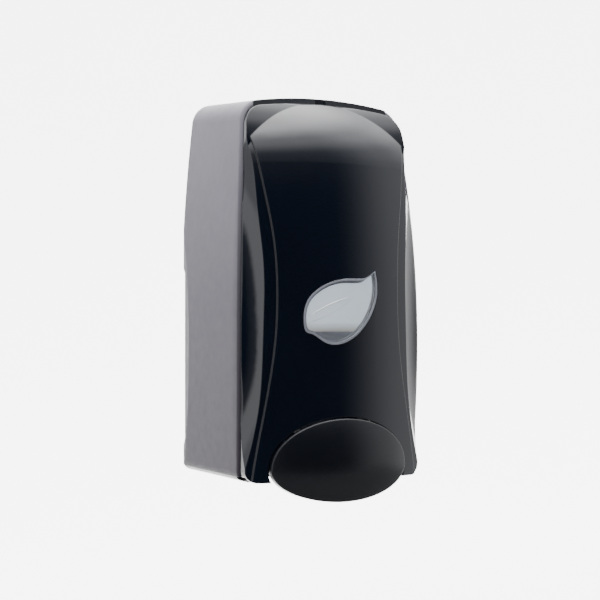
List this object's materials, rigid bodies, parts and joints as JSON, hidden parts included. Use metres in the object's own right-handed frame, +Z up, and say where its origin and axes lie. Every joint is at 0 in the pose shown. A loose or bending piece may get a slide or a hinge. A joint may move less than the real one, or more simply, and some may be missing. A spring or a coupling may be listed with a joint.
{
  "type": "wall mounted soap dispenser",
  "caption": "Wall soap dispenser with grey side panels, a hinged gloss black front cover with leaf window, a push lever and an inner reservoir, pump and nozzle.",
  "frame": {"origin": "on the flat wall face, at the centre of the four wall screw holes", "axes": "+X to the right seen from the front, +Y towards the wall, +Z up"},
  "size_m": [0.127, 0.113, 0.257],
  "materials": {
    "black_housing": "satin moulded ABS",
    "grey_panel": "fine satin moulded ABS",
    "black_cover": "high gloss moulded ABS",
    "black_lever": "semi-gloss moulded ABS",
    "window_trim": "smooth gloss",
    "clear_window": "clear polycarbonate",
    "bottle_plastic": "translucent polyethylene",
    "cap_plastic": "moulded polypropylene",
    "pump_plastic": "moulded acetal",
    "plunger_plastic": "moulded acetal",
    "lock_plastic": "moulded acetal",
    "seal_rubber": "soft silicone",
    "zinc_steel": "zinc plated",
    "spring_steel": "drawn stainless wire",
    "bracket_steel": "pressed stainless sheet"
  },
  "bodies": {
    "housing": {"chassis": "black_housing", "side_panel_left": "grey_panel", "side_panel_right": "grey_panel", "panel_screws": "zinc_steel", "hinge_pins": "zinc_steel", "reservoir_bottle": "bottle_plastic", "reservoir_lid": "cap_plastic", "lid_seal": "seal_rubber", "bottle_collar": "cap_plastic", "neck_seal": "seal_rubber", "pump_body": "pump_plastic", "pump_bracket": "bracket_steel", "bracket_screws": "zinc_steel", "pump_screws": "zinc_steel", "return_spring": "spring_steel", "inlet_valve": "seal_rubber", "outlet_valve": "seal_rubber", "nozzle": "cap_plastic", "nozzle_screen": "bracket_steel"},
    "cover": {"front_cover": "black_cover", "window_bezel": "window_trim", "window_lens": "clear_window", "lever_pin": "zinc_steel"},
    "lever": {"push_lever": "black_lever"},
    "plunger": {"pump_plunger": "plunger_plastic", "plunger_seal": "seal_rubber"},
    "lock": {"lock_bar": "lock_plastic"}
  },
  "joints": [
    {"name": "cover_hinge", "type": "hinge", "parent": "housing", "child": "cover", "pos_m": [0, -0.0904, -0.1143], "axis": [1, 0, 0], "range_deg": [0, 90]},
    {"name": "lever_pivot", "type": "hinge", "parent": "cover", "child": "lever", "pos_m": [0, -0.095, -0.082], "axis": [1, 0, 0], "range_deg": [0, 14], "stiffness_Nm_per_rad": 0.14, "springref_deg": -11.46},
    {"name": "plunger_slide", "type": "slide", "parent": "housing", "child": "plunger", "axis": [0, 1, 0], "range_m": [0, 0.006], "stiffness_N_per_m": 20, "springref_m": -0.002, "deforming": ["return_spring"]},
    {"name": "lock_slide", "type": "slide", "parent": "housing", "child": "lock", "axis": [0, 0, 1], "range_m": [0, 0.004]}
  ],
  "couplings": [
    {"joint": "plunger_slide", "follows": "lever_pivot", "m_per_rad": 0.024}
  ]
}
